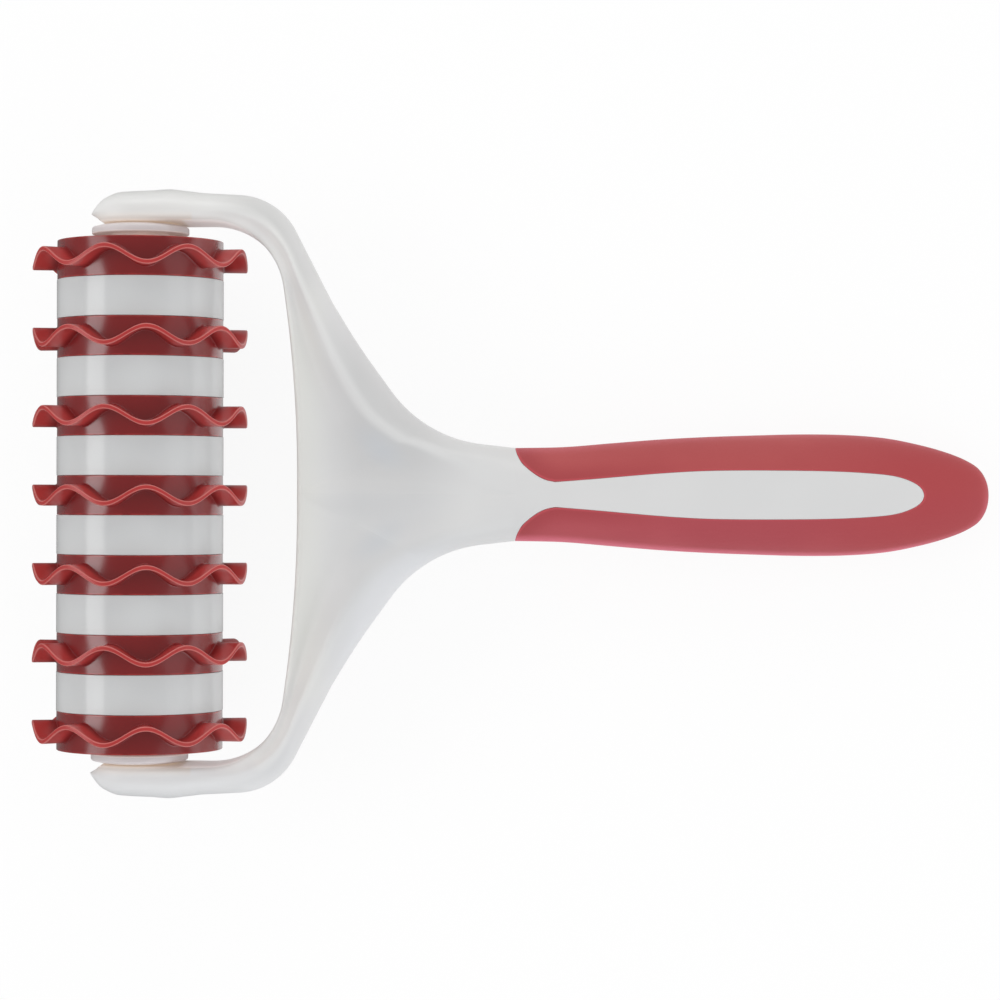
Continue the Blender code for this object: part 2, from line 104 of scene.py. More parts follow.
# Arms and web of the yoke
arm_thickness = 0.00735
arm_half_width = 0.0095
arm_crest = 0.0006
tip_reach = 0.0113
pad_radius = 0.0055
socket_wall_gap = 0.0003
wheel_to_web_gap = 0.01175
web_bow_half = 0.0235
web_bow_radius = 0.33
inner_corner_inset = 0.0050
inner_edge_round = 0.0014
dimple_place = (0.0555, 0.0105)
dimple_reach = 0.0058
dimple_slant = math.radians(36)
dimple_depth = 0.0004

# Handle core and soft grip
grip_start = 0.0864
handle_end = 0.1954
handle_half_width = 0.0140
handle_half_depth = 0.0100
grip_wall = 0.002
grip_seam = 0.00003
grip_edge_round = 0.00015
window_tip = 0.1794
window_waist = 0.0955
window_waist_half = 0.0029
window_mouth_half = 0.0104
window_half = 0.0056

# Half-width of the handle from the start of the grip to the butt, as shares of its length and
# of its greatest half-width
handle_width_shares = (
    (0.00, 0.765), (0.10, 0.782), (0.20, 0.845), (0.30, 0.908), (0.40, 0.952), (0.50, 0.980),
    (0.60, 1.000), (0.70, 0.990), (0.78, 0.941), (0.85, 0.837), (0.91, 0.708), (0.955, 0.565),
    (0.98, 0.430), (0.995, 0.235), (1.00, 0.000),
)

# Half-width of the window from its waist to its tip, as shares of its length and half-width, and of
# its flared mouth, as shares of the way from the mouth to the waist
window_width_shares = (
    (0.00, 0.515), (0.10, 0.634), (0.20, 0.766), (0.30, 0.888), (0.40, 0.973), (0.50, 1.000),
    (0.60, 1.000), (0.72, 0.981), (0.84, 0.906), (0.92, 0.779), (0.97, 0.531), (0.99, 0.330), (1.00, 0.000),
)
window_mouth_shares = (
    (0.00, 1.00), (0.03, 0.875), (0.07, 0.765), (0.14, 0.61), (0.29, 0.42), (0.45, 0.265), (0.62, 0.135),
    (0.80, 0.045), (1.00, 0.00),
)

# Yoke sections: progress from arm tip (0) over the bend (1) and the middle of the web (2) to the
# neck (3), then edge height, ridge height, ridge place, dish depth and how sharp the ridge is
yoke_section_shares = (
    (0.0, 1.00, 1.00, 0.34, 0.00, 0.0),
    (0.6, 0.98, 0.98, 0.34, 0.00, 0.0),
    (1.0, 0.74, 0.91, 0.42, 0.04, 0.5),
    (1.2, 0.64, 0.90, 0.50, 0.08, 1.0),
    (1.4, 0.57, 0.87, 0.60, 0.11, 1.0),
    (1.6, 0.53, 0.86, 0.64, 0.13, 1.0),
    (1.8, 0.50, 0.85, 0.70, 0.14, 1.0),
    (2.0, 0.49, 0.84, 0.80, 0.14, 1.0),
    (2.2, 0.53, 0.83, 0.80, 0.11, 0.9),
    (2.4, 0.60, 0.82, 0.74, 0.07, 0.7),
    (2.6, 0.68, 0.81, 0.62, 0.03, 0.4),
    (2.8, 0.75, 0.80, 0.36, 0.00, 0.1),
    (3.0, 0.80, 0.80, 0.00, 0.00, 0.0),
)
section_power = 2.5
ridge_rise_power = 2.6
ridge_fall_power = 1.7
ridge_blend = 0.05

# How finely each form is cut
steps_per_wave = 24
spacer_steps = 144
cap_steps = 120
arc_steps = 4
path_points = 24
outline_points = 600
weld = 0.000004
sharp_angle = math.radians(38)

# Light and camera
world_level = 0.48
mirrored_world_level = 0.2
softbox_slant = math.radians(57)
floor_half = 3.0
camera_place = (0.0829, -0.00127, 0.691)
camera_lens = 107.97
camera_roll = math.radians(0.13)

# Colours of the white moulding, in linear light. Where there are two they are blended: by slow patches,
# from the lower to the upper half of the slopes and hollows, or from an arm to its corner. All but the
# web's greys hold painted light and shade: lit and shaded greys of slopes, arms and hollows, painted
# highlights on the crest and rim, painted light on the thin web edge and inner sides, painted shade in
# the dimple, on the shoulder and by the seams, and painted glows.
web_greys = (0.76, 0.76, 0.76), (0.785, 0.785, 0.783)
slope_painted_shades = (0.715, 0.718, 0.724), (0.675, 0.675, 0.677)
lower_flank_painted_light = (0.795, 0.804, 0.822)
upper_arm_painted_light_and_shade = (0.875, 0.875, 0.865), (0.757, 0.757, 0.75)
lower_arm_painted_light_and_shade = (0.865, 0.865, 0.87), (0.79, 0.79, 0.795)
lower_bend_painted_shade = (0.745, 0.745, 0.752)
lower_outside_painted_light = (0.865, 0.868, 0.875)
inner_arm_painted_light = (0.985, 0.98, 0.965)
inner_corner_painted_light = (0.875, 0.87, 0.86)
hollow_painted_lights = (0.915, 0.91, 0.90), (0.965, 0.96, 0.945)
shoulder_painted_shade = (0.705, 0.705, 0.70)
thin_edge_painted_light = (0.83, 0.83, 0.787)
lit_rim_white = (1.0, 0.99, 0.96)
dimple_painted_shade = (0.65, 0.672, 0.70)
crest_painted_highlight = (0.86, 0.86, 0.855)
seam_painted_shade = (0.88, 0.83, 0.785)
cap_painted_shade = (0.79, 0.73, 0.735)
neck_glow = (0.13, 0.090, 0.073)
at_seam_glow = (0.10, 0.077, 0.060)
inner_wall_glow = (0.23, 0.213, 0.212)

# Colours of the rings, the wheels and the grip. The flange reds are painted light, the rim pink a painted
# highlight and the hub's edge red a painted highlight with rubbing; the grip's upper and lower reds are
# painted light and shade, its lip red a painted highlight and its rolled-side pink painted light.
ring_greys = (0.715, 0.73, 0.735), (0.73, 0.745, 0.75)
ring_line_grey = (0.70, 0.715, 0.72)
ring_edge_white = (0.80, 0.80, 0.805)
hub_reds = (0.225, 0.010, 0.011), (0.245, 0.012, 0.013)
hub_line_red = (0.280, 0.022, 0.023)
hub_edge_rubbing_and_highlight = (0.50, 0.050, 0.045)
flange_painted_light_reds = (0.46, 0.038, 0.036), (0.50, 0.043, 0.041)
flange_rim_painted_highlight = (0.85, 0.34, 0.31)
bounced_tone = (0.52, 0.45, 0.43)
upper_grip_painted_light_reds = (0.48, 0.076, 0.080), (0.515, 0.088, 0.092)
lower_grip_painted_light_reds = (0.470, 0.070, 0.088), (0.505, 0.083, 0.101)
butt_red = (0.455, 0.056, 0.064)
mouth_red = (0.40, 0.048, 0.058)
# the lip red is a painted highlight along the window's lip
lip_red = (0.60, 0.085, 0.105)
rubbed_lip_red = (0.68, 0.14, 0.15)
rolled_side_painted_light = (0.78, 0.16, 0.23)

# Measures that follow from the ones above, and the tilt at which the tool rests on the table
ring_height = ring_pitch - ring_seam
ring_count = 2 * wheel_count - 1
wheel_disc_radius = drum_radius + flange_reach
flange_face = (ring_count * ring_pitch - ring_gap + end_float + fit_gap) / 2
cap_thickness = cap_rim + cap_cone
arm_inner = flange_face + cap_thickness + fit_gap
arm_outer = arm_inner + arm_thickness
stack_bottom = fit_gap - flange_face
web_edge_x = wheel_disc_radius + wheel_to_web_gap
bore_radius = spindle_radius + fit_gap / 2
rest_tilt = math.radians(5.0979)

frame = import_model()

roller_centre = Vector(next(joint["pos_m"] for joint in frame["joints"] if joint["name"] == "roller_spin"))
tool_frame = Matrix.Translation(roller_centre) @ Matrix.Rotation(rest_tilt, 4, "Y")
roller_frame = tool_frame @ Matrix.Rotation(-math.pi / 2, 4, "X") @ Matrix.Rotation(roller_turn, 4, "Z")


# Making meshes

def mesh_from(name, build):
    """A mesh that the given function fills through bmesh."""
    form = bmesh.new()
    build(form)
    bmesh.ops.remove_doubles(form, verts=form.verts, dist=weld)
    bmesh.ops.recalc_face_normals(form, faces=form.faces)
    mesh = bpy.data.meshes.new(name)
    form.to_mesh(mesh)
    form.free()
    return mesh


def place(name, data, matrix):
    thing = bpy.data.objects.new(name, data)
    bpy.context.scene.collection.objects.link(thing)
    thing.matrix_world = matrix
    return thing


def dress(thing, material, body, slot, *nodes):
    """Smooths a finished piece, settles it in the world, gives it its material and body and hides the given
    nodes of the frame.
    """
    thing.data = thing.data.copy()
    thing.data.shade_smooth()
    thing.data.set_sharp_from_angle(angle=sharp_angle)
    thing.data.transform(thing.matrix_world)
    thing.matrix_world = Matrix.Identity(4)
    thing.data.materials.append(material)
    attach(thing, body)
    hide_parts(*nodes)


def mark(form, places):
    """Gives each vertex its pair of distances, for the finishes to read."""
    layer = form.loops.layers.uv.new("places")
    for face in form.faces:
        for loop in face.loops:
            loop[layer].uv = places.get(loop.vert, (1, 1))


def skin(form, first, second):
    """Faces between two rows of vertices; where both rows share a vertex the face is a triangle."""
    for a, b, c, d in zip(first, first[1:], second[1:], second):
        corners = list(dict.fromkeys((a, b, c, d)))
        if len(corners) > 2:
            form.faces.new(corners)


def skin_all(form, rows, closed=False):
    for first, second in zip(rows, rows[1:] + rows[:1] if closed else rows[1:]):
        skin(form, first, second)


def corner_round(centre, radius, start, end):
    """Points on an arc about a centre, from one angle to another, in degrees."""
    angles = np.radians(np.linspace(start, end, arc_steps + 1))
    return [(centre[0] + radius * math.cos(a), centre[1] + radius * math.sin(a)) for a in angles]


def turned_mesh(name, profile, steps, shape=None):
    """A (radius, height) profile turned about Z; off the axis it is closed. shape may move its points."""
    on_axis = profile[0][0] == 0

    def build(form):
        rows = []
        for step in range(steps):
            angle = 2 * math.pi * step / steps
            row = []
            for radius, height in profile:
                if shape:
                    radius, height = shape(radius, height, angle)
                row.append(form.verts.new((radius * math.sin(angle), -radius * math.cos(angle), height)))
            rows.append(row if on_axis else row + row[:1])
        skin_all(form, rows, closed=True)

    return mesh_from(name, build)


def mirrored_piece(name, build):
    """A piece whose upper front quarter is built and then mirrored across Y and Z."""
    thing = place(name, mesh_from(name, build), tool_frame)
    mirror = thing.modifiers.new("mirror", "MIRROR")
    mirror.use_axis = (False, True, True)
    mirror.merge_threshold = weld
    return thing


def settle(thing, *tools):
    """Cuts the tools away from a piece, applies its modifiers and removes the tools."""
    for tool in tools:
        cut = thing.modifiers.new(f"cut {tool.name}", "BOOLEAN")
        cut.operation = "DIFFERENCE"
        cut.solver = "EXACT"
        cut.object = tool
    bpy.context.view_layer.update()
    graph = bpy.context.evaluated_depsgraph_get()
    thing.data = bpy.data.meshes.new_from_object(thing.evaluated_get(graph))
    thing.modifiers.clear()
    for tool in tools:
        bpy.data.objects.remove(tool, do_unlink=True)


# Cutter wheels and spacer rings

def keyway_reach(angle, plain, key_top, key_half):
    """Radius of a bore or a spindle with two keys, at an angle from the first key."""
    from_key = abs((angle + math.pi / 2) % math.pi - math.pi / 2)
    return key_top / math.cos(from_key) if from_key < math.asin(key_half / plain) else plain


def ring_profile(outer_radius, side):
    """The ring's closed profile; side is the outer wall between its two rounded edges."""
    half = ring_height / 2
    e = ring_edge_round
    wide = outer_radius - ring_wall
    narrow = bore_radius + hub_wall
    floor = web_thickness - half
    top = corner_round((outer_radius - e, half - e), e, 90, 0)
    bottom = corner_round((outer_radius - e, e - half), e, 0, -90)
    bore = [(bore_radius, -half), (bore_radius, half)]
    recess = [(narrow, half), (narrow, floor), (wide, floor), (wide, half)]
    return top + side + bottom + bore + recess


def keyed_bore(radius, height, angle):
    """Moves the points of a ring's bore out into its keyways."""
    if radius == bore_radius:
        key_half = key_width / 2 + fit_gap / 2
        radius = keyway_reach(angle, radius, spindle_radius + key_height + fit_gap / 2, key_half)
    return radius, height


def wheel_mesh():
    """A hub ring with one wavy flange at mid-height, its crest over the keyway."""
    edge = flange_thickness / 2
    root = flange_root_round
    rim = flange_rim_round
    foot = drum_radius + root
    reaches = np.linspace(foot, wheel_disc_radius - rim, 5)[1:-1]
    upper_root = corner_round((foot, edge + root), root, 180, 270)
    upper_rim = corner_round((wheel_disc_radius - rim, edge - rim), rim, 90, 0)
    upper = upper_root + [(reach, edge) for reach in reaches] + upper_rim
    flange = upper + [(radius, -height) for radius, height in reversed(upper)]

    def shape(radius, height, angle):
        if abs(height) < flange_thickness:
            return radius, height + wave_height * math.cos(waves * angle)
        return keyed_bore(radius, height, angle)

    return turned_mesh("wavy_wheel", ring_profile(drum_radius, flange), waves * steps_per_wave, shape)


def ring_place(index):
    """Height of ring number index, counted from the lower end of the stack."""
    return stack_bottom + index * ring_pitch + ring_height / 2


def on_roller(height, turned_over=False):
    """A frame at a height along the roller, upright or turned over."""
    upright = roller_frame @ Matrix.Translation((0, 0, height))
    return upright @ Matrix.Rotation(math.pi, 4, "Y") if turned_over else upright


def make_wheels():
    mesh = wheel_mesh()
    for number in range(1, wheel_count + 1):
        matrix = on_roller(ring_place(ring_count + 1 - 2 * number), number in turned_over_wheels)
        wheel = place(f"wavy_wheel_{number}", mesh, matrix)
        dress(wheel, wheel_finish(number, matrix), "wheel_stack", "cutter_red", f"cutter_wheel_{number}")


def make_spacers(material):
    profile = ring_profile(drum_radius + spacer_proud, [])
    mesh = turned_mesh("smooth_ring", profile, spacer_steps, keyed_bore)
    for number in range(1, wheel_count):
        ring = place(f"smooth_ring_{number}", mesh, on_roller(ring_place(ring_count - 2 * number)))
        dress(ring, material, "wheel_stack", "white_ring", f"spacer_ring_{number}")


# Keyed spindle and end caps

def make_spindle(material):
    reach = flange_face - fit_gap / 2
    e = ring_edge_round
    outer = [
        (spindle_radius - e, reach), (spindle_radius, reach - e),
        (spindle_radius, e - reach), (spindle_radius - e, -reach),
    ]
    profile = outer + [(spindle_bore_radius, -reach), (spindle_bore_radius, reach)]

    def shape(radius, height, angle):
        if radius > spindle_bore_radius:
            radius = keyway_reach(angle, radius, radius + key_height, key_width / 2)
        return radius, height

    spindle = place("keyed_tube", turned_mesh("keyed_tube", profile, spacer_steps, shape), roller_frame)
    dress(spindle, material, "spindle", "white_moulding", "spindle")


def cap_profile():
    """Half of a section through the cap, from the journal's end to the plug's."""
    e = cap_edge_round
    foot = fit_gap / 2 + cap_neck
    top = cap_thickness
    plug_radius = spindle_bore_radius - fit_gap
    journal_top = top + journal_length
    profile = [(0, journal_top)]
    profile += corner_round((journal_radius - e, journal_top - e), e, 90, 0)
    profile += [(journal_radius, top + e), (journal_radius + e, top), (cap_face_radius, top)]
    profile += corner_round((cap_radius - e, cap_rim + cap_shoulder - e), e, 70, 0)
    profile += corner_round((cap_radius - e / 2, foot + e / 2), e / 2, 0, -90)
    profile += [(spindle_radius, foot), (spindle_radius, fit_gap / 2), (plug_radius, fit_gap / 2)]
    profile += corner_round((plug_radius - e, e - plug_length), e, 0, -90)
    profile += [(0, -plug_length)]
    return profile


def make_caps(material):
    mesh = turned_mesh("end_flange", cap_profile(), cap_steps)
    for word, side in (("upper", 1), ("lower", -1)):
        cap = place(f"end_flange_{word}", mesh, on_roller(side * flange_face, side < 0))
        dress(cap, material, "spindle", "white_moulding", f"end_cap_{word}")


# Outlines of the yoke

def rounded_path(corners):
    """Points along straight runs between (x, y, radius) corners, each rounded to its radius."""
    places = [Vector(corner[:2]) for corner in corners]
    path = [places[0]]
    for before, here, after, (_, _, radius) in zip(places, places[1:], places[2:], corners[1:]):
        back = (before - here).normalized()
        on = (after - here).normalized()
        opening = back.angle(on) / 2
        room_back = (before - here).length / (1 if before is places[0] else 2)
        room_on = (after - here).length / (1 if after is places[-1] else 2)
        tangent = min(radius / math.tan(opening), room_back, room_on)
        reach = tangent * math.tan(opening)
        centre = here + (back + on).normalized() * (reach / math.sin(opening))
        sweep = math.pi - 2 * opening
        middle = (here - centre).normalized()
        side = (on - back).normalized()
        for step in range(path_points + 1):
            angle = sweep * (step / path_points - 1 / 2)
            path.append(centre + (middle * math.cos(angle) + side * math.sin(angle)) * reach)
    path.append(places[-1])
    return path


class Path:
    """A path that gives the point at any share of its length."""

    def __init__(self, points):
        self.points = np.array([tuple(point) for point in points])
        steps = np.linalg.norm(np.diff(self.points, axis=0), axis=1)
        self.marks = np.concatenate([[0], np.cumsum(steps)])
        self.marks /= self.marks[-1]

    def at(self, share):
        return np.array([np.interp(share, self.marks, self.points[:, axis]) for axis in (0, 1)])

    def share_near(self, x, y):
        return self.marks[int(np.argmin(np.linalg.norm(self.points - (x, y), axis=1)))]

    def distance(self, point):
        """How far a point is from the nearest place on the path."""
        start = self.points[:-1]
        run = self.points[1:] - start
        along = ((point - start) * run).sum(axis=1) / np.maximum((run * run).sum(axis=1), weld**2)
        nearest = start + run * np.clip(along, 0, 1)[:, None]
        return float(np.linalg.norm(nearest - point, axis=1).min())


def smooth_value(shares, place_on):
    """The value at a place in a table of (place, value) shares, along a smooth curve through it."""
    places, values = np.array(shares).T
    slopes = np.gradient(values, places)
    k = int(np.clip(np.searchsorted(places, place_on) - 1, 0, len(places) - 2))
    width = places[k + 1] - places[k]
    t = np.clip((place_on - places[k]) / width, 0, 1)
    return float(
        values[k] * (1 + 2 * t) * (1 - t) ** 2
        + slopes[k] * width * t * (1 - t) ** 2
        + values[k + 1] * t * t * (3 - 2 * t)
        + slopes[k + 1] * width * t * t * (t - 1)
    )


# Corners of the yoke's outline, as x, y and the radius that rounds them: along the inner side from the
# stepped tip over the bend to the middle of the bowed web, and along the outer side from the tip over
# the arm's crest and slope, round the shoulder and down the web's long slope to the waist and the neck
tip_corner = (-tip_reach, arm_inner + 0.0021, 0)
inner_bend_corner = (web_edge_x - inner_corner_inset, arm_inner, 0.017)
outer_bend_corner = (0.0318, arm_outer - 0.00113, 0.0232)
waist_corner = (0.0656, 0.0131, 0.030)
inner_corners = (
    tip_corner,
    (-0.0100, arm_inner + 0.0014, 0.0005),
    (-0.0084, arm_inner, 0.001),
    inner_bend_corner,
    (web_edge_x, web_bow_half, web_bow_radius),
    (web_edge_x, 0, 0),
)
outer_corners = (
    tip_corner,
    (-0.0088, arm_inner + 0.0056, 0.006),
    (-0.0050, arm_outer - 0.0001, 0.006),
    (0.0073, arm_outer + arm_crest, 0.008),
    (0.0145, arm_outer - 0.0003, 0.02),
    outer_bend_corner,
    (0.0441, 0.0443, 0.026),
    (0.0503, 0.0341, 0.15),
    waist_corner,
    (grip_start, handle_half_width * handle_width_shares[0][1], 0),
)

inner_path = Path(rounded_path(inner_corners))
outer_path = Path(rounded_path(outer_corners))


# Heights of the yoke's front face

def section_values(progress):
    return [
        smooth_value([(row[0], row[column]) for row in yoke_section_shares], progress)
        for column in range(1, 6)
    ]


section_marks = np.linspace(0, 3, 181)
section_rows = np.array([section_values(mark) for mark in section_marks])


def section_height(progress, share, half_height):
    """Height of the front face at a share of the way from the yoke's inner to its outer edge."""
    edge, ridge, spot, dish, sharpness = (
        float(np.interp(progress, section_marks, section_rows[:, column])) for column in range(5)
    )
    spot = max(spot, weld)

    def sloped(at, rise, fall_power):
        """Height of a section that rises from the edge to the ridge and falls to the outer edge."""
        if at < spot:
            return edge + (ridge - edge) * rise(at / spot)
        return ridge * math.sqrt(max(1 - ((at - spot) / (1 - spot)) ** fall_power, 0))

    def sharp(at):
        return sloped(at, lambda t: t**ridge_rise_power, ridge_fall_power)

    def crest(at):
        """The sharp section, rounded over where its two slopes meet."""
        near = abs(at - spot) / ridge_blend
        if near >= 2 or spot < ridge_blend:
            return sharp(at)
        spread = ridge_blend * (1 - near / 2)
        offsets = np.linspace(-spread, spread, 9)
        return float(np.mean([sharp(min(max(at + offset, 0), 1)) for offset in offsets]))

    soft = sloped(share, lambda t: t * t * (3 - 2 * t), section_power)
    height = soft * (1 - sharpness) + crest(share) * sharpness
    if share < spot:
        height -= dish * math.sin(math.pi * share / spot) ** 2
    return height * half_height


def rounding_drop(distance, radius):
    """How far a rounded edge has fallen at a distance from the edge."""
    inward = max(radius - distance, 0)
    return radius - math.sqrt(max(radius**2 - inward**2, 0))


def dimple(point):
    reach = math.dist(point, dimple_place) / dimple_reach
    return dimple_depth * math.exp(-reach * reach)


def ridge_place(inner, outer, progress, share):
    """How far a point lies beyond the ridge, and its section's progress."""
    spot = float(np.interp(progress, section_marks, section_rows[:, 2]))
    return (share - spot) * math.dist(inner, outer), progress


def yoke_point(inner, outer, progress, share):
    """A point on the front face in the tool's frame."""
    point = inner + (outer - inner) * share
    nose = (inner[0] + outer[0]) / 2 / tip_reach
    half_height = arm_half_width * (math.sqrt(max(1 - nose * nose, 0)) if nose < 0 else 1)
    height = section_height(progress, share, half_height)
    radius = min(inner_edge_round, height / 2, math.dist(inner, outer) / 3)
    if radius > 0 and progress < 2.5:
        height -= rounding_drop(inner_path.distance(point), radius)
    height -= dimple(point)
    return point[0], point[1], max(height, 0)


# Handle, window and grip in plan

def round_ended(shares, place_on):
    """The value at a place in a table of shares whose end is round."""
    table = [(math.sqrt(1 - along), value) for along, value in reversed(shares)]
    return max(smooth_value(table, math.sqrt(max(1 - place_on, 0))), 0)


def handle_half(share):
    return round_ended(handle_width_shares, share) * handle_half_width


def depth_of(share):
    """Half-depth of the handle; at the grip's start it carries on from the neck."""
    start = yoke_section_shares[-1][1] * arm_half_width
    width = handle_half(share) / handle_half_width
    start_share = handle_width_shares[0][1]
    shift = (start / handle_half_depth - start_share) * (1 - share) ** 2 * width / start_share
    return handle_half_depth * (width + shift)


handle_marks = 1 - np.linspace(1, 0, outline_points) ** 2
half_marks = np.array([handle_half(mark) for mark in handle_marks])
depth_marks = np.array([depth_of(mark) for mark in handle_marks])


def handle_height(x, y, wall=0.0):
    """Height of the handle's surface, or of the same form drawn in by a wall, at a place in plan."""
    share = (x - grip_start) / (handle_end - wall - grip_start)
    half = np.interp(share, handle_marks, half_marks) * (1 - wall / handle_half_width)
    depth = np.interp(share, handle_marks, depth_marks) * (1 - wall / handle_half_depth)
    if half < weld:
        return 0.0
    return float(depth * math.sqrt(max(1 - min(abs(y) / half, 1) ** section_power, 0)))


def window_edge(x):
    """Half-width of the window."""
    if x < window_waist:
        along = (x - grip_start) / (window_waist - grip_start)
        flare = smooth_value(window_mouth_shares, along)
        return window_waist_half + (window_mouth_half - window_waist_half) * max(flare, 0)
    return window_half * round_ended(window_width_shares, (x - window_waist) / (window_tip - window_waist))


def nose_spaced(start, end, count):
    """Places from start to end that lie close together near the end."""
    return [end - (end - start) * (1 - step / count) ** 2 for step in range(count + 1)]


window_path = Path([(x, window_edge(x)) for x in nose_spaced(grip_start, window_tip, outline_points)])
side_path = Path([
    (grip_start + (handle_end - grip_start) * mark, half) for mark, half in zip(handle_marks, half_marks)
])


# Yoke moulding: arms, web, neck and the core that shows through the window

yoke_columns = (
    list(np.linspace(0, 0.05, 7)) + list(np.linspace(0.075, 0.93, 36))
    + [0.945, 0.955, 0.963, 0.968, 0.971] + [0.976, 0.982, 0.987, 0.991, 0.995, 0.998, 0.9995, 1.0]
)
window_share = 0.971
window_column = yoke_columns.index(window_share)
arm_rows = [0, 0.004, 0.01, 0.018, 0.028, 0.04, 0.055, 0.07, 0.09, 0.11] + list(np.linspace(0.14, 1, 36))
web_rows = list(np.linspace(0.02, 1, 50))
neck_rows = [0.004, 0.009, 0.015, 0.022, 0.03, 0.045] + list(np.linspace(0.07, 1, 36))


def yoke_rows():
    """(inner point, outer point, progress) of each section, from the arm's tip to the neck."""
    inner_bend = inner_path.share_near(*inner_bend_corner[:2])
    outer_bend = outer_path.share_near(*outer_bend_corner[:2])
    outer_waist = outer_path.share_near(*waist_corner[:2])
    rows = []
    for share in arm_rows:
        rows.append((inner_path.at(share * inner_bend), outer_path.at(share * outer_bend), share))
    for share in web_rows:
        inner_place = inner_bend + (1 - inner_bend) * share
        outer_place = outer_bend + (outer_waist - outer_bend) * share
        rows.append((inner_path.at(inner_place), outer_path.at(outer_place), 1 + share))
    for share in neck_rows:
        inner_point = np.array((web_edge_x + (grip_start - web_edge_x) * share, 0.0))
        rows.append((inner_point, outer_path.at(outer_waist + (1 - outer_waist) * share), 2 + share))
    return rows


def pad_row(form, x):
    """The window's surface across its half-width, with its edge rounded."""
    half = max(window_edge(x) - grip_seam, 0) if x > grip_start else window_mouth_half
    row = []
    for share in yoke_columns[: window_column + 1]:
        y = half * share / window_share
        fall = rounding_drop(half - y, min(grip_edge_round, half)) if x > grip_start else 0
        row.append(form.verts.new((x, y, handle_height(x, y) - fall)))
    return row


def core_row(form, x):
    """The sunk core beside and beyond the window, from the window's edge to its side."""
    share = (x - grip_start) / (handle_end - grip_wall - grip_start)
    side = float(np.interp(share, handle_marks, half_marks)) * (1 - grip_wall / handle_half_width)
    start = min(max(window_edge(min(x, window_tip)) - grip_seam, 0), side)
    row = []
    for column in yoke_columns[window_column:]:
        y = start + (side - start) * (column - window_share) / (1 - window_share)
        row.append(form.verts.new((x, y, handle_height(x, y, grip_wall))))
    return row


def yoke_quarter(form):
    """A quarter of the yoke with the handle's core, open at y = 0 and z = 0."""
    rows = []
    walls = []
    places = {}
    for inner, outer, progress in yoke_rows():
        row = [form.verts.new(yoke_point(inner, outer, progress, share)) for share in yoke_columns]
        for vertex, share in zip(row, yoke_columns):
            places[vertex] = ridge_place(inner, outer, progress, share)
        rows.append(row)
        if progress <= 2:
            walls.append(form.verts.new((inner[0], inner[1], 0)))
            places[walls[-1]] = places[row[0]]
    skin_all(form, rows)
    for below, above, next_above, next_below in zip(walls, rows, rows[1:], walls[1:]):
        form.faces.new((below, above[0], next_above[0], next_below))
    xs = list(grip_start + (window_waist - grip_start) * np.linspace(0, 1, 29) ** 1.5)
    xs += nose_spaced(window_waist, window_tip, 60)[1:]
    beyond = nose_spaced(window_tip, handle_end - grip_wall, 12)[1:]
    cores = [core_row(form, x) for x in xs + beyond]
    pads = [rows[-1][: window_column + 1]] + [pad_row(form, x) for x in xs[1:]]
    skin_all(form, pads)
    skin_all(form, cores)
    skin(form, rows[-1][window_column:], cores[0])
    skin(form, [pad[-1] for pad in pads], [core[0] for core in cores[: len(pads)]])
    mark(form, places)


def drum_tool(name, radius, low, high, side):
    """A plain cylinder along the roller's axis, to cut with."""
    profile = [(0, high), (radius, high), (radius, low), (0, low)]
    matrix = tool_frame @ Matrix.Rotation(-side * math.pi / 2, 4, "X")
    return place(name, turned_mesh(name, profile, 64), matrix)


def make_yoke(material):
    yoke = mirrored_piece("yoke_moulding", yoke_quarter)
    socket_end = flange_face + cap_thickness + journal_length + socket_wall_gap
    tools = []
    for side in (1, -1):
        tools.append(drum_tool("socket", journal_radius + fit_gap, arm_inner - 0.002, socket_end, side))
        tools.append(drum_tool("pad", pad_radius, arm_outer, arm_outer + arm_crest + 0.002, side))
    settle(yoke, *tools)
    dress(yoke, material, "handle", "white_moulding", "yoke_frame")


# Soft grip: two prongs beside the window, joined over the butt

grip_rows = list(np.linspace(0, 0.006, 5)) + list(np.linspace(0.009, 0.03, 8)) + [
    1 - (1 - step / 100) ** 1.6 for step in range(2, 101)
]
grip_columns = sorted([0.0, 0.004, 0.010, 0.018, 0.03, 0.05] + [
    (1 - (1 - step / 26) ** 2) ** (1 / section_power) for step in range(1, 27)
])


def grip_row(form, start, side, wall):
    """One row of the grip's outer or inner face, from the window's edge to the handle's side."""
    row = []
    for share in grip_columns:
        x, y = start + (side - start) * share
        height = handle_height(x, y, wall)
        if not wall:
            distance = min(math.dist((x, y), start), x - grip_start - grip_seam)
            radius = min(grip_edge_round, math.dist(start, side) / 3)
            height = max(height - rounding_drop(max(distance, 0), radius), 0)
        row.append(form.verts.new((x, y, height)))
    return row


def grip_quarter(form):
    """A quarter of the grip, open at y = 0 beyond the window and at z = 0."""
    outers = []
    inners = []
    places = {}
    wall = grip_wall - grip_seam
    drawn_in = np.array((
        (handle_end - wall - grip_start) / (handle_end - grip_start), 1 - wall / handle_half_width,
    ))
    origin = np.array((grip_start, 0.0))
    seam = np.array((grip_seam, 0.0))
    for share in grip_rows:
        start = window_path.at(share)
        side = side_path.at(share)
        if share < 0.02:
            start = start + seam
            side = side + seam
        inner_side = origin + (side - origin) * drawn_in
        outers.append(grip_row(form, start, side, 0))
        inners.append(grip_row(form, start, inner_side, wall))
        for vertex in outers[-1]:
            places[vertex] = (math.dist(vertex.co[:2], start), math.dist(vertex.co[:2], side))
    skin_all(form, outers)
    skin_all(form, inners)
    skin(form, [row[0] for row in outers], [row[0] for row in inners])
    skin(form, outers[0], inners[0])
    mark(form, places)


def make_grip(material):
    grip = mirrored_piece("soft_touch_grip", grip_quarter)
    settle(grip)
    dress(grip, material, "handle", "grip_red", "soft_grip")


# Node trees

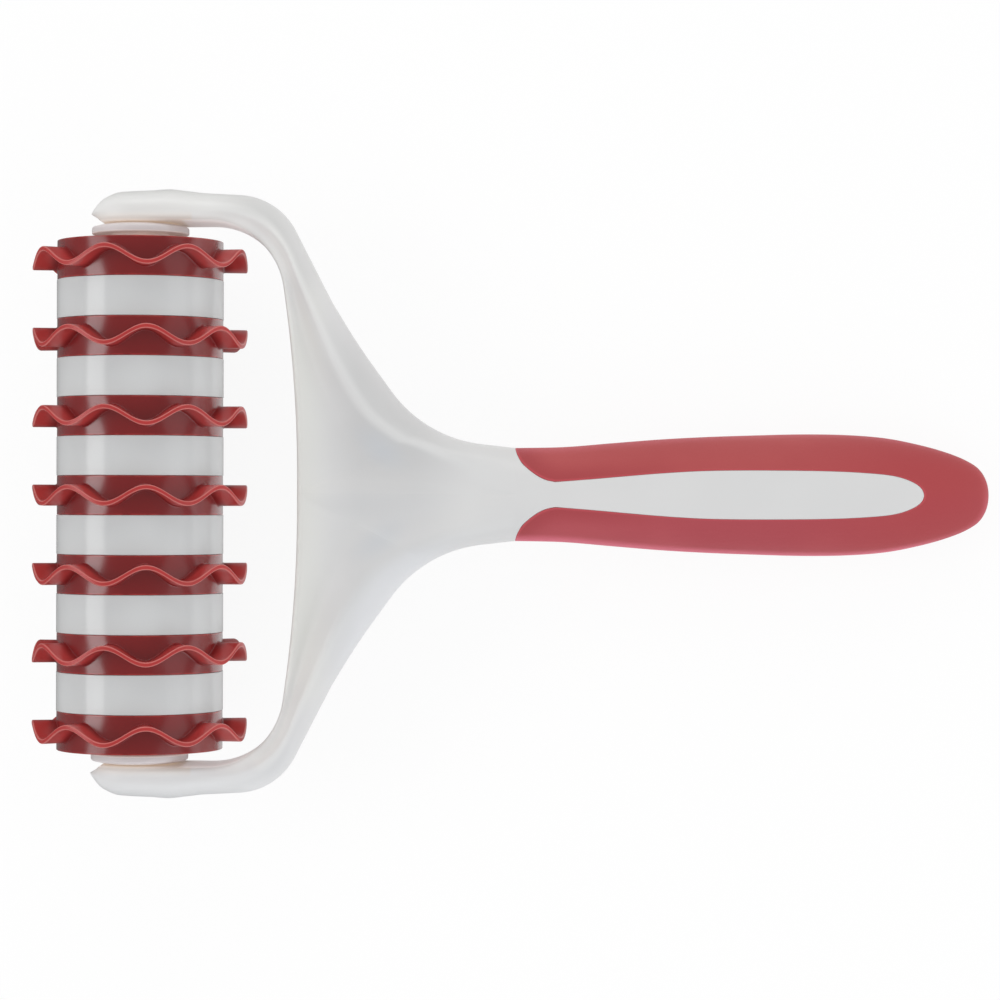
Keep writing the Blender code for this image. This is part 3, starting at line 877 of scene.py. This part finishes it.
class Board:
    """A node tree with short calls to add nodes and join them."""

    def __init__(self, tree):
        self.tree = tree

    def feed(self, socket, value):
        """Joins another socket to the input, or sets its value."""
        if isinstance(value, bpy.types.NodeSocket):
            self.tree.links.new(value, socket)
        elif socket.type == "RGBA":
            socket.default_value = (*value, 1)
        else:
            socket.default_value = value

    def feed_all(self, node, **inputs):
        """Feeds a node's inputs by name, with underscores for spaces."""
        for name, value in inputs.items():
            self.feed(node.inputs[name.replace("_", " ")], value)
        return node

    def add(self, kind, settings=None, **inputs):
        node = self.tree.nodes.new(f"ShaderNode{kind}")
        for name, value in (settings or {}).items():
            setattr(node, name, value)
        return self.feed_all(node, **inputs)

    def math(self, operation, first, second=0.0, clamp=False):
        node = self.add("Math", {"operation": operation, "use_clamp": clamp})
        self.feed(node.inputs[0], first)
        self.feed(node.inputs[1], second)
        return node.outputs[0]

    def less(self, value, other, clamp=False):
        return self.math("SUBTRACT", value, other, clamp)

    def size(self, value):
        return self.math("ABSOLUTE", value)

    def product(self, value, *others):
        for other in others:
            value = self.math("MULTIPLY", value, other)
        return value

    def ramp(self, value, low, high, low_out=0.0, high_out=1.0):
        """A smooth step of the value between two limits."""
        node = self.add(
            "MapRange", {"interpolation_type": "SMOOTHSTEP"},
            Value=value, From_Min=low, From_Max=high, To_Min=low_out, To_Max=high_out,
        )
        return node.outputs[0]

    def fade(self, value, low, high):
        """A smooth step down, from one to nothing."""
        return self.ramp(value, low, high, 1.0, 0.0)

    def parts(self, vector):
        return self.add("SeparateXYZ", Vector=vector).outputs

    def noise(self, vector, scale, detail):
        return self.add("TexNoise", Vector=vector, Scale=scale, Detail=detail).outputs[0]

    def blend(self, share, first, second):
        """A mix of two colours."""
        node = self.add("Mix", {"data_type": "RGBA"})
        for number, value in ((0, share), (6, first), (7, second)):
            self.feed(node.inputs[number], value)
        return node.outputs[2]

    def layered(self, colour, *layers):
        """The colour with layers of (share, colour) blended over it in turn."""
        for share, over in layers:
            colour = self.blend(share, colour, over)
        return colour

    def placed(self, group, **inputs):
        return self.add("Group", {"node_tree": group}, **inputs).outputs


def node_group(**inputs):
    """Makes a node group of a function. An input without a value is a vector."""
    names = [name.replace("_", " ") for name in inputs]

    def make(build):
        tree = bpy.data.node_groups.new(build.__name__, "ShaderNodeTree")
        for name, value in zip(names, inputs.values()):
            kind = "Vector" if value is None else "Float"
            made = tree.interface.new_socket(name=name, in_out="INPUT", socket_type=f"NodeSocket{kind}")
            if value is not None:
                made.default_value = value
        board = Board(tree)
        given = tree.nodes.new("NodeGroupInput").outputs
        results = build(board, *(given[name] for name in names))
        for name in results:
            tree.interface.new_socket(name=name, in_out="OUTPUT", socket_type="NodeSocketFloat")
        board.feed_all(tree.nodes.new("NodeGroupOutput"), **results)
        return tree

    return make


@node_group(Vector=None, Fine_Scale=4000.0, Patch_Scale=40.0)
def moulded_grain(board, vector, fine_scale, patch_scale):
    """Fine grain of a moulded surface, and slow patches of tone."""
    patches = board.ramp(board.noise(vector, patch_scale, 2.0), 0.35, 0.65)
    return {"Grain": board.noise(vector, fine_scale, 4.0), "Patches": patches}


@node_group(Vector=None, Distance=0.0, Width=0.0005, Patch_Scale=400.0)
def rubbed_and_lit_edge(board, vector, distance, width, patch_scale):
    """Faint rubbing along an edge, broken up into patches, for a distance from that edge; some finishes use
    it to break up a painted highlight.
    """
    broken = board.ramp(board.noise(vector, patch_scale, 3.0), 0.40, 0.60, 0.3, 1.0)
    return {"Rubbed": board.product(board.fade(distance, 0.0, width), broken)}


@node_group(Vector=None, Line_Scale=60.0, Line_Length=20.0)
def turned_place(board, vector, line_scale, line_length):
    """Radius, height and angle of a point about the ring's own axis, and fine lines along that axis."""
    x, y, z = board.parts(vector)
    radius = board.math("SQRT", board.math("ADD", board.product(x, x), board.product(y, y)))
    angle = board.math("ARCTAN2", y, x)
    around = board.add("CombineXYZ", X=angle, Y=board.product(z, line_length))
    lines = board.noise(around.outputs[0], line_scale, 3.0)
    return {"Radius": radius, "Height": z, "Angle": angle, "Lines": lines}


@node_group(Along=0.0, Side=0.0)
def slanted_dimple(board, along, side):
    """A long soft dimple that runs inwards from the shoulder towards the neck."""
    x = board.less(along, dimple_place[0])
    y = board.less(side, dimple_place[1])
    c = math.cos(dimple_slant)
    s = math.sin(dimple_slant)
    lengthwise = board.less(board.product(x, c), board.product(y, s))
    crosswise = board.math("ADD", board.product(x, s), board.product(y, c))
    away = board.add("CombineXYZ", X=board.product(lengthwise, 0.5), Y=crosswise)
    length = board.add("VectorMath", {"operation": "LENGTH"}, Vector=away.outputs[0])
    return {"Sunk": board.fade(length.outputs["Value"], 0.0, dimple_reach * 0.85)}


@node_group(Side=0.0, Along=0.0)
def seam_glow(board, side, along):
    """Masks for a painted warm glow at the roller's neck and where a cap meets its arm, and for painted warm
    shade on the arm and the cap beside that seam.
    """
    near = board.fade(board.size(along), cap_radius + 0.001, cap_radius + 0.002)
    under = board.fade(side, flange_face + 0.0008, flange_face + 0.0010)
    above = board.ramp(side, arm_inner - 0.0006, arm_inner - 0.0002)
    below = board.fade(side, arm_inner + 0.0001, arm_inner + 0.0007)
    tinted = board.fade(side, arm_inner + 0.0004, arm_inner + 0.0026)
    return {
        "Neck": board.product(under, near),
        "Seam": board.product(above, below, near),
        "Tint": board.product(above, tinted, near),
        "Cap": board.product(board.less(1.0, above), near),
    }


@node_group(Radius=0.0, Height=0.0, Angle=0.0)
def wavy_rim(board, radius, height, angle):
    """The two rounded edges along the rim of the wavy flange."""
    wave = board.product(board.math("COSINE", board.product(angle, waves)), wave_height)
    level = board.size(board.less(height, wave))
    over = board.ramp(level, flange_thickness / 2 - flange_rim_round, flange_thickness / 2)
    beyond = board.ramp(radius, wheel_disc_radius - flange_rim_round * 1.3, wheel_disc_radius)
    return {"Line": board.ramp(board.product(over, beyond), 0.06, 0.25)}


# Finishes

class Finish(Board):
    """The board of a material, with its Principled shader."""

    def __init__(self, name, **constants):
        self.material = bpy.data.materials.new(name)
        self.material.use_nodes = True
        super().__init__(self.material.node_tree)
        self.surface = self.feed_all(self.tree.nodes["Principled BSDF"], **constants)

    def grained(self, frame, fine_scale, patch_scale):
        """Adds coordinates in a frame, with the grain and the patches of a moulding."""
        mapping = self.add(
            "Mapping", {"vector_type": "TEXTURE"}, Vector=self.add("TexCoord").outputs["Object"],
            Location=frame.to_translation(), Rotation=frame.to_euler(),
        )
        self.own = mapping.outputs[0]
        self.grain, self.patches = self.placed(
            moulded_grain, Vector=self.own, Fine_Scale=fine_scale, Patch_Scale=patch_scale,
        )

    def marks(self):
        """The pair of distances that the mesh carries."""
        return self.parts(self.add("TexCoord").outputs["UV"])[:2]

    def rubbed(self, distance, width, **inputs):
        return self.placed(rubbed_and_lit_edge, Vector=self.own, Distance=distance, Width=width, **inputs)[0]

    def rubbed_and_lit_ends(self, height, width):
        """Rubbing along both ends of a ring, for a height from the ring's middle; on the hubs it also carries
        a painted highlight.
        """
        return self.rubbed(self.less(ring_height / 2, self.size(height)), width)

    def made(self, tone, roughness, bump, strength, distance, **more):
        """The finished material. The bump is a height with its strength and distance."""
        normal = self.add("Bump", Height=bump, Strength=strength, Distance=distance).outputs[0]
        self.feed_all(self.surface, Base_Color=tone, Roughness=roughness, Normal=normal, **more)
        return self.material


def from_web_edge(board, x, side):
    """How far a place lies from the web's bowed inner edge."""
    lean = math.atan2(inner_corner_inset, arm_inner - web_bow_half)
    bow_start = web_bow_half - web_bow_radius * math.tan(lean / 2)
    past = board.math("MAXIMUM", board.less(side, bow_start), 0.0)
    bow = board.math("DIVIDE", board.product(past, past), 2 * web_bow_radius)
    return board.math("ADD", board.less(x, web_edge_x), bow)


def web_tone(board, x, upper, beyond_ridge):
    """Grey of the web, with painted shade on its slopes, deeper on the upper half, and painted bluish light
    outside the lower ridge.
    """
    on_slope = board.product(board.ramp(x, 0.040, 0.052), board.fade(x, 0.062, 0.078))
    lower_outside = board.less(board.ramp(beyond_ridge, -0.0005, 0.0050), upper, clamp=True)
    return board.layered(
        board.blend(board.patches, *web_greys),
        (on_slope, board.blend(upper, *slope_painted_shades)),
        (board.product(lower_outside, on_slope), lower_flank_painted_light),
    )


def arm_tone(board, x, upper, beyond_ridge, on_corner):
    """White of the arms, painted lighter than the web, with painted shade round their corners and the lower
    bend and painted light outside the lower corner.
    """
    on_bend = board.product(on_corner, board.fade(x, 0.024, 0.031))
    lower = board.layered(
        board.blend(on_corner, *lower_arm_painted_light_and_shade),
        (board.ramp(x, 0.027, 0.034), lower_bend_painted_shade),
        (board.product(on_bend, board.ramp(beyond_ridge, 0.0020, 0.0044)), lower_outside_painted_light),
    )
    return board.blend(upper, lower, board.blend(on_corner, *upper_arm_painted_light_and_shade))


def inside_tone(board, x, side, upper, on_corner):
    """Painted light on the arms' inner side, where shade falls, brighter in the hollow behind each corner."""
    in_hollow = board.product(board.ramp(x, 0.026, 0.032), board.ramp(side, 0.046, 0.054))
    cornered = board.blend(in_hollow, inner_corner_painted_light, board.blend(upper, *hollow_painted_lights))
    return board.blend(on_corner, inner_arm_painted_light, cornered)


def inside_share(board, x, side, upper, beyond_ridge, progress, on_corner):
    """How far a place counts as the arms' inner side, which reaches over the ridge at the corners."""
    carried_over = board.ramp(upper, 0.0, 1.0, board.ramp(x, 0.024, 0.030), on_corner)
    start = board.ramp(carried_over, 0.0, 1.0, -0.004, -0.0012)
    end = board.ramp(carried_over, 0.0, 1.0, 0.0, 0.0022)
    near_bend = board.product(board.ramp(side, 0.030, 0.052), board.fade(progress, 1.5, 2.0))
    return board.product(near_bend, board.fade(beyond_ridge, start, end))


def white_moulding_finish():
    """Satin white plastic with painted light and shade: painted highlights on crests, painted light on inner
    sides, painted shade on slopes, and a faint painted glow inside.
    """
    board = Finish("satin_white_plastic", IOR=1.49, Emission_Strength=1.0)
    board.grained(tool_frame, 2600.0, 28.0)
    x, y, _ = board.parts(board.own)
    beyond_ridge, progress = board.marks()
    side = board.size(y)
    upper = board.ramp(y, -0.010, 0.010)
    on_arm = board.ramp(side, 0.042, 0.060)
    on_corner = board.ramp(x, 0.016, 0.032)
    in_dimple = board.placed(slanted_dimple, Along=x, Side=side)[0]
    near_edge = board.fade(x, web_edge_x, web_edge_x + 0.009)
    on_web = board.ramp(x, web_edge_x - 0.006, web_edge_x - 0.002)
    thin = board.product(near_edge, on_web, board.fade(side, 0.040, 0.052))
    above_ridge = board.product(board.ramp(beyond_ridge, -0.0005, 0.0022), upper)
    crest = board.fade(board.size(beyond_ridge), 0.0003, 0.0022)
    run = board.product(board.ramp(progress, 1.10, 1.45), board.fade(progress, 2.25, 2.75))
    from_edge = from_web_edge(board, x, side)
    # Painted highlight along the web's inner rim, broken up by rubbed patches.
    rubbed = board.rubbed(from_edge, 0.0014, Patch_Scale=150.0)
    lit_rim = board.math("MAXIMUM", board.ramp(from_edge, 0.0, 0.0014, 0.8, 0.0), rubbed)
    inside = inside_share(board, x, side, upper, beyond_ridge, progress, on_corner)
    at_neck, at_seam, near_seam, on_cap = board.placed(seam_glow, Side=side, Along=x)
    # Painted shade on the shoulder, in the dimple, by the seam and on the cap; painted light on the thin web
    # edge and the inner sides; painted highlights on the crest and along the rim.
    tone = board.layered(
        web_tone(board, x, upper, beyond_ridge),
        (on_arm, arm_tone(board, x, upper, beyond_ridge, on_corner)),
        (board.product(above_ridge, on_corner, board.ramp(side, 0.040, 0.052)), shoulder_painted_shade),
        (board.product(thin, 0.7), thin_edge_painted_light),
        (board.product(in_dimple, board.ramp(upper, 0.0, 1.0, 0.75, 0.8)), dimple_painted_shade),
        (board.product(crest, run, upper, 0.5), crest_painted_highlight),
        (inside, inside_tone(board, x, side, upper, on_corner)),
        (board.product(lit_rim, thin), lit_rim_white),
        (near_seam, seam_painted_shade),
        (on_cap, cap_painted_shade),
    )
    # Painted glow: emission on the arms' inner walls, at the roller's neck and where a cap meets its arm.
    sideways = board.parts(board.add("NewGeometry").outputs["Normal"])[1]
    inner_wall = board.product(
        board.fade(board.product(sideways, board.math("SIGN", y)), -0.98, -0.68),
        on_arm, board.fade(progress, 1.2, 1.6), board.ramp(x, cap_radius - 0.0015, cap_radius + 0.0005),
    )
    seamed = board.layered((0, 0, 0), (at_neck, neck_glow), (at_seam, at_seam_glow))
    glow = board.blend(inner_wall, seamed, inner_wall_glow)
    roughness = board.ramp(board.patches, 0.0, 1.0, 0.36, 0.42)
    return board.made(tone, roughness, board.grain, 0.08, 0.00004, Emission_Color=glow)


def white_ring_finish():
    """Glossier white plastic with fine lines along the ring's axis and faintly rubbed edges."""
    board = Finish("glossy_white_plastic", IOR=1.52)
    board.grained(roller_frame, 2200.0, 60.0)
    _, height, _, lines = board.placed(turned_place, Vector=board.own, Line_Scale=90.0, Line_Length=60.0)
    up_ring = board.math("MODULO", board.less(height, stack_bottom + ring_pitch), 2 * ring_pitch)
    rubbed = board.rubbed_and_lit_ends(board.less(up_ring, ring_height / 2), 0.0004)
    tone = board.layered(
        board.blend(board.patches, *ring_greys),
        (board.ramp(lines, 0.4, 0.7), ring_line_grey),
        (board.product(rubbed, 0.35), ring_edge_white),
    )
    return board.made(tone, board.ramp(lines, 0.3, 0.7, 0.13, 0.19), lines, 0.06, 0.00003)


def wheel_finish(number, wheel_frame):
    """Deep red plastic: a dark glossy hub with a painted highlight, broken up by rubbing, along its ends, and
    a flange painted brighter red for light through its thin plastic, with painted highlights on its rim
    edges. It bounces near-neutral light.
    """
    board = Finish(f"deep_red_plastic_{number}", IOR=1.49, Coat_Roughness=0.2)
    board.grained(wheel_frame, 2400.0, 70.0)
    radius, height, angle, streaks = board.placed(
        turned_place, Vector=board.own, Line_Scale=120.0, Line_Length=50.0,
    )
    rim = board.placed(wavy_rim, Radius=radius, Height=height, Angle=angle)[0]
    on_hub = board.fade(radius, drum_radius + 0.00001, drum_radius + 0.00006)
    outermost = board.product(on_hub, board.ramp(radius, drum_radius - 0.0006, drum_radius - 0.0002))
    on_flange = board.ramp(radius, drum_radius + 0.0002, drum_radius + 0.0030)
    lines = board.product(board.ramp(streaks, 0.45, 0.75), on_hub)
    # Painted light: the flange red for light through its thin plastic, painted highlights on the rim edges
    # and, broken up by rubbing, on the hub's ends.
    tone = board.layered(
        board.blend(board.patches, *hub_reds),
        (lines, hub_line_red),
        (board.product(board.rubbed_and_lit_ends(height, 0.0005), outermost, 0.8), hub_edge_rubbing_and_highlight),
        (on_flange, board.blend(board.patches, *flange_painted_light_reds)),
        (board.product(rim, 0.42), flange_rim_painted_highlight),
        (board.product(board.add("LightPath").outputs["Is Diffuse Ray"], 0.85), bounced_tone),
    )
    roughness = board.ramp(on_hub, 0.0, 1.0, 0.30, 0.18)
    return board.made(tone, roughness, lines, 0.05, 0.00003, Coat_Weight=board.product(on_hub, 0.9))


def grip_finish():
    """Matte red soft-touch rubber with painted light: lit and shaded reds on its upper and lower halves,
    deeper by the window's mouth, a painted highlight and faint rubbing on its lip, and painted light on its
    rolled side.
    """
    board = Finish("soft_touch_red", IOR=1.45, Sheen_Weight=0.10, Sheen_Tint=(1.0, 0.75, 0.75))
    board.grained(tool_frame, 5200.0, 35.0)
    x, y, _ = board.parts(board.own)
    from_lip, from_side = board.marks()
    near_mouth = board.fade(x, grip_start + 0.006, grip_start + 0.045)
    rolled = board.product(
        board.fade(from_side, 0.0, 0.0024), board.ramp(y, -0.002, 0.002, 1.0, 0.22),
        board.ramp(x, 0.172, 0.190, 1.0, 0.3),
    )
    # Painted light: the upper and lower reds, the highlight along the lip and the light on the rolled side.
    tone = board.layered(
        board.blend(board.patches, *lower_grip_painted_light_reds),
        (board.ramp(y, -0.002, 0.002), board.blend(board.patches, *upper_grip_painted_light_reds)),
        (board.ramp(x, 0.140, 0.180, 0.0, 0.8), butt_red),
        (board.product(near_mouth, board.fade(from_lip, 0.0005, 0.006), 0.7), mouth_red),
        (board.product(board.fade(from_lip, 0.0002, 0.0008), 0.7), lip_red),
        (board.product(board.rubbed(from_lip, 0.0004), 0.25), rubbed_lip_red),
        (rolled, rolled_side_painted_light),
    )
    return board.made(tone, board.ramp(board.grain, 0.3, 0.7, 0.60, 0.74), board.grain, 0.15, 0.00005)


# Floor, light and camera

def seen_straight(board, rays):
    return board.math("MAXIMUM", rays["Is Camera Ray"], rays["Is Transmission Ray"])


def floor_finish():
    """Pale floor that looks white, keeps a faint shadow and is darker in reflections on the open side."""
    board = Finish("pale_floor", Roughness=0.9)
    rays = board.add("LightPath").outputs
    x = board.parts(board.add("NewGeometry").outputs["Position"])[0]
    handle_side = board.ramp(x, roller_centre.x, roller_centre.x + 0.04)
    reflected = board.blend(handle_side, (0.20, 0.20, 0.20), (0.55, 0.55, 0.55))
    tone = board.blend(rays["Is Glossy Ray"], (0.86, 0.86, 0.86), reflected)
    board.feed_all(board.surface, Base_Color=tone)
    mirrored = board.product(rays["Is Glossy Ray"], handle_side)
    seen = board.math("MAXIMUM", seen_straight(board, rays), mirrored)
    glow = board.add("Emission", Color=(1, 1, 1), Strength=1.02)
    shade = board.add("MixShader", Fac=board.product(seen, 0.90))
    board.feed(shade.inputs[1], board.surface.outputs[0])
    board.feed(shade.inputs[2], glow.outputs[0])
    board.feed_all(board.tree.nodes["Material Output"], Surface=shade.outputs[0])
    return board.material


def make_floor():
    def build(form):
        corners = ((-1, -1), (1, -1), (1, 1), (-1, 1))
        form.faces.new([form.verts.new((x * floor_half, y * floor_half, 0)) for x, y in corners])

    floor = place("pale_floor", mesh_from("pale_floor", build), Matrix.Identity(4))
    floor.data.materials.append(floor_finish())


def make_world():
    world = bpy.data.worlds.new("studio")
    world.use_nodes = True
    bpy.context.scene.world = world
    board = Board(world.node_tree)
    rays = board.add("LightPath").outputs
    lit = board.ramp(rays["Is Glossy Ray"], 0.0, 1.0, world_level, mirrored_world_level)
    strength = board.math("MAXIMUM", seen_straight(board, rays), lit)
    board.feed_all(world.node_tree.nodes["Background"], Color=(1, 1, 1), Strength=strength)


def soft_light(name, direction, distance, size, level, colour=(1, 1, 1), mirrored_too=True):
    """An area light in the tool's frame. level is its brightness, with white at 1."""
    lamp = bpy.data.lights.new(name, "AREA")
    lamp.shape = "RECTANGLE"
    lamp.size, lamp.size_y = size
    lamp.energy = level * math.pi * size[0] * size[1]
    lamp.color = colour
    towards = Vector(direction).normalized()
    along = Vector((0, 1, 0)) if abs(towards.y) < 0.9 else Vector((1, 0, 0))
    across = along.cross(towards).normalized()
    turn = Matrix((across, towards.cross(across), towards)).transposed().to_4x4()
    thing = place(name, lamp, tool_frame @ Matrix.Translation(towards * distance) @ turn)
    thing.visible_glossy = mirrored_too


def make_lights():
    aside = math.sin(softbox_slant)
    up = math.cos(softbox_slant)
    soft_light("left_softbox", (-aside, 0, up), 0.9, (0.44, 0.6), 2.6)
    soft_light("right_softbox", (aside, 0, up), 0.9, (0.42, 0.6), 0.36)
    soft_light("far_left_fill", (-1, 0, 0.25), 1.1, (1.0, 0.9), 0.34, mirrored_too=False)
    soft_light("far_right_fill", (1, 0, 0.16), 1.1, (1.1, 0.9), 1.15, mirrored_too=False)
    soft_light("low_right_fill", (0.8, -0.8, 0.7), 1.2, (0.7, 0.7), 1.4, (0.94, 0.97, 1.0))
    soft_light("low_fill", (0, -0.87, 0.5), 1.1, (1.1, 0.6), 0.6, (0.93, 0.96, 1.0))
    soft_light("high_fill", (0, 0.87, 0.5), 1.1, (1.1, 0.6), 1.6, (1.0, 0.99, 0.97))


def make_camera():
    camera = bpy.data.cameras.new("camera")
    camera.sensor_width = 36
    camera.lens = camera_lens
    camera.clip_start = 0.01
    camera.clip_end = 20
    roll = Matrix.Rotation(camera_roll, 4, "Z")
    bpy.context.scene.camera = place("camera", camera, tool_frame @ Matrix.Translation(camera_place) @ roll)


white_moulding = white_moulding_finish()
make_wheels()
make_spacers(white_ring_finish())
make_spindle(white_moulding)
make_caps(white_moulding)
make_yoke(white_moulding)
make_grip(grip_finish())
make_floor()
make_world()
make_lights()
make_camera()
bpy.context.scene.view_settings.view_transform = "Standard"
